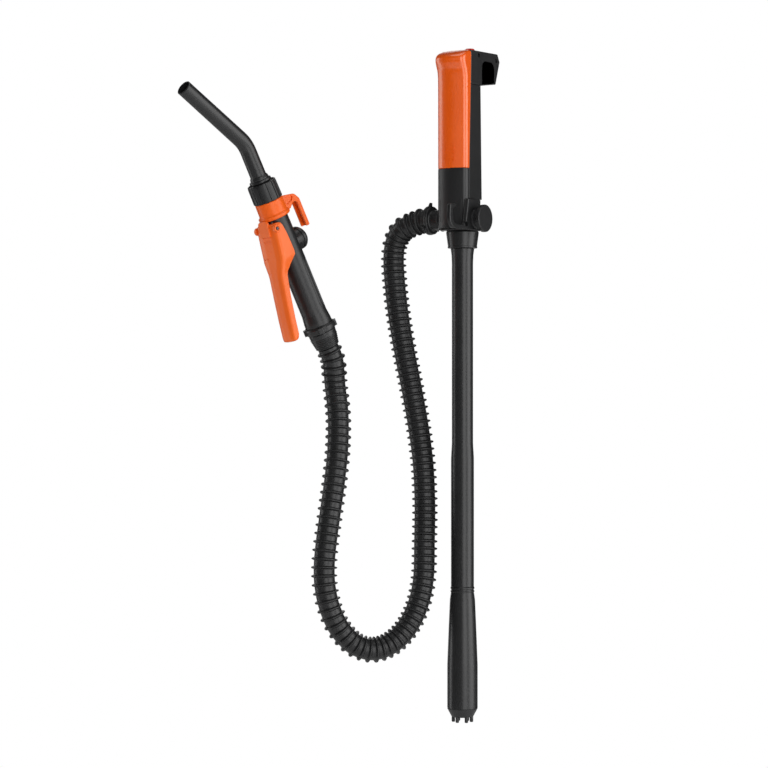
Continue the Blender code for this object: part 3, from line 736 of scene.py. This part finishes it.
def head():
    side = rounded(
        [
            (split_y(HEAD_LOW) + 0.15, 848.8, 0), (14.2, 848.8, 1.5), (14.2, 881.0, 8.0),
            (43.3, 881.0, 8.0), (43.3, 854.0, 1.2), (49.4, 854.0, 1.6), (60.2, 885.5, 2.0),
            (54.4, HEAD_HIGH - 0.4, 2.0), (split_y(HEAD_HIGH) + 0.15, HEAD_HIGH - 1.9, 0),
        ],
        8,
    )
    block = bare("head", soft_prism(side, -WIDE, WIDE, "X", 1.5), BLACK, PUMP)
    steps = [
        ("cut", slab((-20.2, -30, 847), (20.2, 11.8, 891.4))),
        ("cut", rod(7.0, 889.6, 900), BUTTON),
        ("cut", rod(5.2, 883.2, 890), BUTTON),
    ]
    for y, z in SCREWS:
        steps.append(("cut", rod(2.9, 17.5, 24, 0), facing(0, y, z, "+X")))
    shaped(block, *steps)
    piece(crisp(block, 35), "pump", "black_plastic", "hanger_head")
    dome = turned([(0, 19.0), (2.6, 19.0), (2.6, 21.0, 0.5), (1.6, 21.6, 0.4), (0, 21.7)], 0, 32)
    cross = [("cut", slab((-a, -b, 20.7), (a, b, 23))) for a, b in ((0.35, 1.6), (1.6, 0.35))]
    for number, (y, z) in enumerate(SCREWS, 1):
        screw = bare(f"head_screw_look_{number}", dome, DARK_STEEL, PUMP @ facing(0, y, z, "+X"))
        shaped(screw, *cross)
        piece(crisp(screw), "pump", "steel", f"head_screw_{number}")
    cap = [
        (0, 888.2), (2.4, 888.2), (2.4, 892.2), (6.7, 892.2, 0.3), (6.7, 898.6, 0.3), (5.9, 900.3, 1.2),
        (2.0, 900.9, 3), (0, 901.0),
    ]
    button = bare("button", turned(cap), RED, PUMP @ BUTTON)
    piece(crisp(button), "power_button", "red_plastic", "power_button")


# ---------------------------------------------------------------- bracket, knob and outlet


def side_bracket():
    outline = rounded(
        [
            (-3.5, 654.5, 3.0), (-3.5, 696.0, 2.0), (-31.5, 696.0, 2.0), (-35.5, 676.0, 12.0),
            (-38.5, 660.5, 12.0), (-69.6, 660.5, 15.0), (-69.6, 680.0, 1.5), (-63.0, 683.0, 1.5),
            (-63.0, 687.0, 2.0), (-77.5, 687.0, 4.5), (-79.0, 654.5, 19.0),
        ][::-1],
        10,
    )
    plate = bare("bracket", soft_prism(outline, 22.9, 28.6, "X", 1.6), BLACK, PUMP)
    place = facing(*PORT, "+X")
    shaped(
        plate,
        (
            "join",
            turned(
                [
                    (0, 27.2), (13.4, 27.2), (13.4, 29.6, 0.5), (12.5, 30.2, 0.4), (12.5, 34.5, 0.3),
                    (0, 34.5),
                ]
            ),
            place,
        ),
        ("cut", rod(4.4, 20, 36), place),
        ("cut", rod(3.4, 24.8, 30), facing(0, -37, 661.5, "+X")),
    )
    piece(crisp(plate, 35), "pump", "black_plastic", "side_bracket")

    knob = [
        (0, 9.5), (4.0, 9.5), (4.0, 34.8), (13.0, 34.8, 0.5), (16.6, 37.6, 0.8), (18.2, 38.4, 0.6),
        (18.2, 42.6, 0.7), (17.4, 43.4, 0.5), (0, 43.4),
    ]
    whole = bare("knob", turned(knob), BLACK, PUMP @ place)
    grooves = []
    for i in range(24):
        a = math.radians(15 * i)
        at = Matrix.Translation(Vector((18.9 * math.cos(a), 18.9 * math.sin(a), 0)) * MM)
        grooves.append(("cut", rod(1.0, 33, 44.5, 0, 12), at))
    piece(crisp(shaped(whole, *grooves)), "side_knob", "black_plastic", "side_knob")


def outlet():
    place = PUMP @ facing(*PORT, "-X")
    socket = [
        (6.0, 9.0), (7.8, 9.0), (7.8, 22.8), (15.2, 22.8, 0.5), (15.6, 24.2, 0.8), (13.9, 25.4, 0.8),
        (13.7, 31.4, 1.0), (13.7, 36.4, 1.0), (15.0, 37.6, 1.0), (18.0, 38.0, 0.6), (18.8, 39.0, 0.6),
        (18.8, 40.2, 0.5), (18.2, 40.8, 0.3), (6.0, 40.8),
    ]
    piece(crisp(bare("socket", turned(socket), BLACK, place)), "pump", "black_plastic", "outlet_socket")
    ring = [
        (9.0, 41.0), (18.4, 41.0, 0.4), (19.4, 41.9, 0.6), (19.4, 44.9, 0.6), (18.4, 45.8, 0.4),
        (9.0, 45.8),
    ]
    flange = bare("flange", turned(ring), HOSE, place)
    ear = rounded(
        [(17.0, 41.2, 0.3), (23.8, 41.2, 0.8), (23.8, 42.6, 0.8), (19.4, 44.8, 1.2), (17.0, 44.8, 0.3)], 6,
    )
    ear = prism(ear, -2.4, 2.4, "Y")
    turns = (Matrix.Rotation(math.radians(angle), 4, "Z") for angle in (0, 120, 240))
    shaped(flange, *(("join", ear, turn) for turn in turns))
    piece(crisp(flange), "pump", "hose_plastic", "hose_flange")


# ---------------------------------------------------------------- nozzle

VALVE_Z, PIVOT_X, PIVOT_Z = 124.0, 21.3, 154.2
PIVOT = Matrix.Translation(Vector((PIVOT_X, 0, PIVOT_Z)) * MM)
PIN_AXIS = PIVOT @ Matrix.Rotation(math.radians(90), 4, "X")
VALVE = Matrix.Translation(Vector((0, 0, VALVE_Z)) * MM)
VALVE_AHEAD = VALVE @ Matrix.Rotation(math.radians(90), 4, "Y")


def grip():
    profile = [
        (8.0, 4.0), (15.4, 4.0, 0.5), (18.0, 6.4, 1.5), (18.6, 9.5, 3.0), (18.5, 14.0, 8.0),
        (17.2, 25.0, 20), (17.2, 112.0, 30), (16.8, 160.0, 3), (16.8, 163.7, 0.5), (8.0, 163.7),
    ]
    body = bare("grip", turned(profile), BLACK, NOZZLE)
    lug = rounded(
        [
            (8, 143, 0), (14, 143, 3), (18.6, 148.5, 2), (25.3, 151.2, 3.6), (25.3, 157.2, 3.6),
            (19.5, 160.5, 3), (14, 163.4, 3), (8, 163.4, 0),
        ],
        6,
    )
    cross = VALVE @ Matrix.Rotation(math.radians(-90), 4, "Y")
    steps = [
        ("join", prism(lug, -8.2, 8.2, "Y")),
        (
            "join",
            turned([(0, 8), (15.6, 8), (15.6, 17.0, 0.4), (14.6, 18.2, 0.4), (14.6, 20.4, 0.3), (0, 20.4)]),
            cross,
        ),
        ("cut", rod(10.0, -13.0, 22.0), cross),
        ("cut", rod(2.9, 9.0, 24.0), VALVE_AHEAD),
        ("cut", rod(2.4, -12, 12), PIN_AXIS),
    ]
    flute = turned([(0, 30), (1.4, 31.0, 1.0), (2.7, 37, 3), (2.7, 94, 3), (1.4, 99.5, 1.0), (0, 101)], 0, 24)
    for around in (-82, -60, -36, -12, 12, 36, 60, 82):  # down the back of the grip
        a = math.radians(180 + around)
        at = Matrix.Translation(Vector((18.1 * math.cos(a), 18.1 * math.sin(a), 0)) * MM)
        steps.append(("cut", flute, at))
    shaped(body, *steps)
    piece(crisp(body, 38), "nozzle", "black_plastic", "grip_body")

    cap = [
        (0, 24.8), (9.0, 24.8), (9.0, 20.7), (15.6, 20.7, 0.5), (15.6, 25.2, 3.2), (12.6, 29.2, 3.4),
        (6.0, 30.6, 8.0), (0, 30.6),
    ]
    bonnet = bare("bonnet", turned(cap), BLACK, NOZZLE @ cross)
    piece(crisp(bonnet, 60), "nozzle", "black_plastic", "valve_bonnet")
    pin = turned([(0, -21.2), (2.1, -21.2, 0.4), (2.1, 21.2, 0.4), (0, 21.2)], 0, 32)
    piece(crisp(bare("pin", pin, DARK_STEEL, NOZZLE @ PIN_AXIS)), "nozzle", "steel", "pivot_pin")


LEVER_ROWS = [  # height, front, width, depth
    (160.6, 21.8, 33.0, 6.0), (160.0, 22.9, 36.0, 9.4), (158.4, 23.8, 38.6, 12.4),
    (155.0, 24.9, 39.8, 14.6), (150.0, 26.0, 40.2, 16.6), (142.0, 27.8, 40.6, 19.2),
    (128.0, 30.9, 40.8, 22.8), (116.0, 33.8, 40.4, 25.8), (112.5, 34.9, 39.8, 26.0),
    (104.0, 37.3, 34.0, 18.0), (97.0, 39.4, 29.4, 12.6), (92.0, 40.9, 27.6, 11.4), (66.0, 47.7, 26.8, 10.4),
    (38.0, 54.5, 26.4, 10.2), (16.0, 59.2, 26.0, 10.2), (12.6, 59.8, 25.2, 9.0), (10.6, 59.8, 23.4, 7.6),
    (9.6, 59.0, 20.0, 6.4),
]


def read_row(z):
    for a, b in zip(LEVER_ROWS, LEVER_ROWS[1:]):
        if z >= b[0]:
            t = (z - a[0]) / (b[0] - a[0])
            return [p + (q - p) * t for p, q in zip(a, b)]
    return list(LEVER_ROWS[-1])


def lever():
    """An outer skin less an inner one, so the channel is open towards the grip and closed at its ends."""
    heights = [row[0] for row in LEVER_ROWS]
    for a, b in zip(LEVER_ROWS, LEVER_ROWS[1:]):
        count = int((a[0] - b[0]) / 3.0)
        heights += [a[0] + (b[0] - a[0]) * k / (count + 1) for k in range(1, count + 1)]
    heights = sorted(set(heights), reverse=True)

    def section(z, thin):
        _, front, width, depth = read_row(z)
        w, f, back = width / 2 - thin, front - thin, front - depth
        r = (4.4 + 3.6 * max(0.0, min(1.0, (width - 27) / 12))) - thin
        if thin:
            back -= 12
        outline = [
            (back, -w, 0.7), (f - 1.3, -w, r), (f, -0.4 * w, 14), (f, 0.4 * w, 14), (f - 1.3, w, r),
            (back, w, 0.7),
        ]
        return [(x, y, z) for x, y in rounded(outline, 8)]

    skin = bare("lever_skin", loft([section(z, 0.0) for z in heights]), LEVER_ORANGE, NOZZLE)
    inner = [z for z in heights if 12.4 < z < 157.0]
    steps = [("cut", loft([section(z, 2.2) for z in inner]))]
    for side in (-1, 1):
        across = PIVOT @ Matrix.Rotation(math.radians(-90 * side), 4, "X")
        boss = [
            (0, 16.5), (5.2, 16.5), (5.2, 20.2, 0.6), (4.5, 21.0, 0.5), (3.4, 21.0, 0.4), (2.7, 20.0, 0.3),
            (0, 20.0),
        ]
        steps.append(("join", turned(boss, 0, 40), across))
    knuckle = rounded([(-10.4, 145.6, 2.4), (9.2, 145.6, 2.4), (8.4, 166.6, 4.2), (-9.6, 166.6, 4.2)], 8)
    low = [(22.3, y, z) for y, z in knuckle]
    mid = [(28.0 - (z - 146) * 0.19, y * 0.99, 156 + (z - 156) * 0.99) for y, z in knuckle]
    top = [(28.8 - (z - 146) * 0.19, y * 0.91, 156 + (z - 156) * 0.92) for y, z in knuckle]
    steps.append(("join", loft([low, mid, top])))
    steps.append(("cut", rod(2.4, -24, 24), PIN_AXIS))
    steps.append(("cut", rod(4.8, -8.7, 8.7), PIN_AXIS))  # clears the grip's lug
    steps.append(("join", rod(3.6, 26.4, 31.6), VALVE_AHEAD))
    for z in (140.5, 138.2):
        _, front, _, _ = read_row(z)
        steps.append(("cut", slab((front - 0.35, -6.5, z - 0.35), (front + 3, 6.5, z + 0.35))))
    for z in (118, 99, 80, 61, 42):
        _, front, _, _ = read_row(z)
        steps.append(("cut", slab((front - 3.4, -15.0, z - 0.55), (front + 3, -12.4, z + 0.55))))
        steps.append(("cut", slab((front - 0.7, -13.0, z - 0.5), (front + 3, -3.6, z + 0.5))))
    shaped(skin, *steps)
    piece(crisp(skin, 38), "lever", "orange_plastic", "lever")


def hook():
    ring = [
        (11.0, 164.0), (20.6, 164.0, 0.5), (21.6, 165.2, 0.7), (21.6, 168.2, 0.8), (19.9, 169.4, 0.5),
        (19.3, 170.4, 0.6), (18.9, 187.0, 0.5), (18.3, 187.7, 0.3), (11.0, 187.7),
    ]
    whole = bare("hook", turned(ring), HOOK_ORANGE, NOZZLE)
    arm = rounded(
        [
            (-15.0, 164.6, 0), (-15.0, 186.8, 0), (-41.5, 180.0, 9), (-47.3, 171.0, 5), (-47.3, 133.0, 1.5),
            (-41.4, 133.0, 1.5), (-41.4, 169.0, 4), (-35.0, 170.5, 4), (-26.0, 164.6, 3),
        ],
        7,
    )
    pocket = rounded([(-21.5, 171.5, 1.5), (-21.5, 182.6, 1.5), (-38.0, 178.4, 4), (-33.5, 173.2, 3)], 6)
    channel = rounded([(-45.4, 131.0, 0), (-45.4, 168.5, 2), (-40.2, 168.5, 1), (-40.2, 131.0, 0)], 4)
    shaped(
        whole,
        ("join", soft_prism(arm, -6.2, 6.2, "Y", 1.1)),
        ("cut", prism(channel, -4.0, 4.0, "Y")),
        ("cut", prism(pocket, 4.6, 8.0, "Y")),
        ("cut", prism(pocket, -8.0, -4.6, "Y")),
    )
    whole.data.shade_flat()
    piece(whole, "nozzle", "orange_plastic", "hook_ring")


def union_nut():
    outline = []
    for i in range(12):
        for r, a in (
            (18.2, 0.4), (18.3, 2.2), (19.6, 3.6), (19.9, 6.5), (19.9, 20.5), (19.6, 23.4), (18.3, 24.8),
            (18.2, 26.6),
        ):
            angle = math.radians(30 * i + a)
            outline.append((r * math.cos(angle), r * math.sin(angle)))
    rings = []
    for z, share in ((188.0, 0.975), (188.5, 1.0), (209.8, 0.985), (213.0, 0.955)):
        rings.append([(x * share, y * share, z) for x, y in outline])
    nut = bare("nut", loft(rings), BLACK, NOZZLE)
    dish = turned(
        [
            (0, 180), (16.0, 180), (16.0, 208.0, 1.0), (12.2, 210.8, 0.5), (12.2, 211.2, 0.2),
            (17.4, 211.2, 0.4), (17.4, 220), (0, 220),
        ]
    )
    shaped(nut, ("cut", dish))
    piece(crisp(nut, 30), "union_nut", "black_plastic", "union_nut")


SPOUT_LEAN, SPOUT_BEND_R, SPOUT_CORNER_Z = math.radians(30.8), 40.0, 268.0


def bent(radius, arm, start, end_soft=0.0):
    """A tube's outside or its bore: straight up from a height, round the bend and out to the tip."""
    lean, bend_r, corner_z = SPOUT_LEAN, SPOUT_BEND_R, SPOUT_CORNER_Z
    run = bend_r * math.tan(lean / 2)
    rings = []

    def ring(centre, tilt, r):
        side = Vector((math.cos(tilt), 0, -math.sin(tilt)))
        return [tuple(centre + side * r * math.cos(b) + Vector((0, r * math.sin(b), 0)))
                for b in (2 * math.pi * k / 64 for k in range(64))]

    rings.append(ring(Vector((0, 0, start)), 0, radius + 0.5))
    rings.append(ring(Vector((0, 0, start + (corner_z - run - start) / 2)), 0, radius + 0.4))
    pivot = Vector((bend_r, 0, corner_z - run))
    for i in range(17):
        a = lean * i / 16
        rings.append(ring(pivot + Vector((-math.cos(a), 0, math.sin(a))) * bend_r, a, radius + 0.3))
    corner, ahead = Vector((0, 0, corner_z)), Vector((math.sin(lean), 0, math.cos(lean)))
    for share, r in ((0.5, radius + 0.15), (0.97, radius), (1.0, radius)):
        rings.append(ring(corner + ahead * (arm * share - (end_soft if share == 1.0 else 0)), lean, r))
    if end_soft:
        rings.append(ring(corner + ahead * arm, lean, radius - end_soft))
    return loft(rings)


def spout():
    body = bare("spout_tube", bent(10.4, 119.0, 204.0, 0.5), BLACK_TUBE, NOZZLE)
    rings = [
        (0, 203.6), (13.6, 203.6), (15.6, 205.0, 0.4), (15.6, 207.2, 0.4), (11.8, 211.0, 0.6),
        (11.8, 213.4, 0.5), (14.4, 214.0, 0.5), (14.9, 215.0, 0.5), (14.7, 217.2, 0.7), (12.6, 218.0, 0.5),
        (12.6, 219.4, 0.5), (12.0, 221.6, 0.8), (10.9, 223.0, 0.4), (0, 223.4),
    ]
    shaped(body, ("join", turned(rings)), ("cut", bent(8.6, 121.0, 202.0)))
    piece(crisp(body, 38), "nozzle", "black_plastic", "spout")


def hose_end():
    ring = [
        (9.0, -1.6), (19.0, -1.6, 0.5), (20.8, -0.4, 0.8), (21.2, 1.4, 1.5), (21.2, 5.6, 1.0),
        (20.4, 7.4, 0.8), (19.4, 8.0, 0.3), (18.9, 8.0, 0.2), (18.9, 3.7), (9.0, 3.7),
    ]
    swivel = bare("swivel", turned(ring), BLACK, NOZZLE)
    steps = []
    for angle in (-42, 48, 138, 228):
        turn = Matrix.Rotation(math.radians(angle), 4, "Z")
        lug = rounded([(19.2, -4.6, 0.5), (22.9, -3.4, 1.6), (22.9, 3.4, 1.6), (19.2, 4.6, 0.5)], 6)
        steps.append(("join", prism(lug, -0.6, 7.2), turn))
    shaped(swivel, *steps)
    piece(crisp(swivel), "nozzle", "black_plastic", "swivel_ring")
    cuff = [(9.0, -24.5), (14.9, -24.5, 0.5)]
    z = -23.6
    while z < -9.5:  # fine ribs
        r = 15.3 + (z + 24.5) * 0.19
        cuff += [(r, z, 0.3), (r + 0.75, z + 0.5, 0.4), (r + 0.85, z + 1.2, 0.4), (r + 0.2, z + 1.8, 0.3)]
        z += 2.6
    cuff += [(18.4, -7.6, 1.5), (18.8, -3.0, 0.6), (18.6, -1.9, 0.3), (9.0, -1.9)]
    piece(crisp(bare("cuff", turned(cuff), BLACK, NOZZLE)), "pump", "black_plastic", "hose_cuff")


# ---------------------------------------------------------------- what the covers hide keeps its CAD shape


def inner_looks():
    looks = {
        "battery_lower": JACKET, "battery_upper": JACKET, "battery_cradle": BLACK, "contact_plate": BRASS,
        "contact_spring": STEEL, "switch_body": RUBBER, "motor_can": STEEL, "motor_shaft": STEEL,
        "motor_mount": BLACK, "shaft_seal": RUBBER, "impeller": WHITE, "wire_conduit": RUBBER,
        "valve_plug": WHITE, "valve_stem": STEEL, "valve_spring": STEEL, "outlet_neck": BLACK,
        "spout_seal": RUBBER,
    }
    for name, look in looks.items():
        node = frame["nodes"][name]
        node.data.materials.clear()
        node.data.materials.append(look)


# ---------------------------------------------------------------- floor and light


def stage():
    floor = bpy.data.meshes.new("floor")
    low, reach = FEET - 0.55, 2.3
    rim = [
        (reach * math.cos(2 * math.pi * k / 160), reach * math.sin(2 * math.pi * k / 160), low)
        for k in range(160)
    ]
    floor.from_pydata(rim, [], [tuple(range(160))])
    look = Look("floor")
    grain = look.noise(3.0, 2)
    look.set(
        Base_Color=look.ramp(grain, [(0.3, (0.86, 0.86, 0.86)), (0.7, (0.88, 0.88, 0.88))]), Roughness=0.7,
    )
    floor.materials.append(look.made)
    obj = bpy.data.objects.new("floor", floor)
    bpy.context.scene.collection.objects.link(obj)

    world = bpy.data.worlds.new("studio")
    bpy.context.scene.world = world
    world.use_nodes = True
    nodes, links = world.node_tree.nodes, world.node_tree.links
    seen, lit = nodes["Background"], nodes.new("ShaderNodeBackground")
    seen.inputs["Color"].default_value = (1, 1, 1, 1)
    lit.inputs["Color"].default_value = (1, 1, 1, 1)
    lit.inputs["Strength"].default_value = 0.04
    mix, path = nodes.new("ShaderNodeMixShader"), nodes.new("ShaderNodeLightPath")
    links.new(path.outputs["Is Camera Ray"], mix.inputs["Fac"])
    links.new(lit.outputs["Background"], mix.inputs[1])
    links.new(seen.outputs["Background"], mix.inputs[2])
    links.new(mix.outputs["Shader"], nodes["World Output"].inputs["Surface"])


def softbox(name, around, lift, away, width, height, power, glossy=True):
    """A panel that faces the pump. Its angle starts at the camera and grows to the camera's right."""
    a = math.radians(around)
    out = TOWARDS * math.cos(a) + RIGHT * math.sin(a)
    data = bpy.data.lights.new(name, "AREA")
    data.shape = "RECTANGLE"
    data.size, data.size_y, data.energy = width, height, power
    lamp = bpy.data.objects.new(name, data)
    lamp.location = TARGET + out * away + Vector((0, 0, lift))
    lamp.rotation_euler = (TARGET - lamp.location).to_track_quat("-Z", "Y").to_euler()
    lamp.visible_glossy = glossy
    bpy.context.scene.collection.objects.link(lamp)


def lights():
    softbox("key", 22, 0.1, 2.6, 1.5, 3.4, 39)
    softbox("side", 72, 0.1, 2.6, 1.9, 3.4, 56)
    softbox("rim", -104, 0.2, 2.4, 0.66, 3.2, 16.5)
    softbox("back_fill", 190, 0.5, 3.0, 2.2, 3.0, 20)
    softbox("front_fill", -30, 0.6, 3.4, 2.4, 2.4, 42, glossy=False)
    softbox("top", 0, 3.0, 0.3, 2.2, 2.2, 24)


wet_end()
battery_cover()
front_panel()
shells()
base()
head()
side_bracket()
outlet()
grip()
lever()
hook()
union_nut()
spout()
hose_end()
inner_looks()
stage()
lights()
bpy.context.scene.view_settings.view_transform = "Standard"
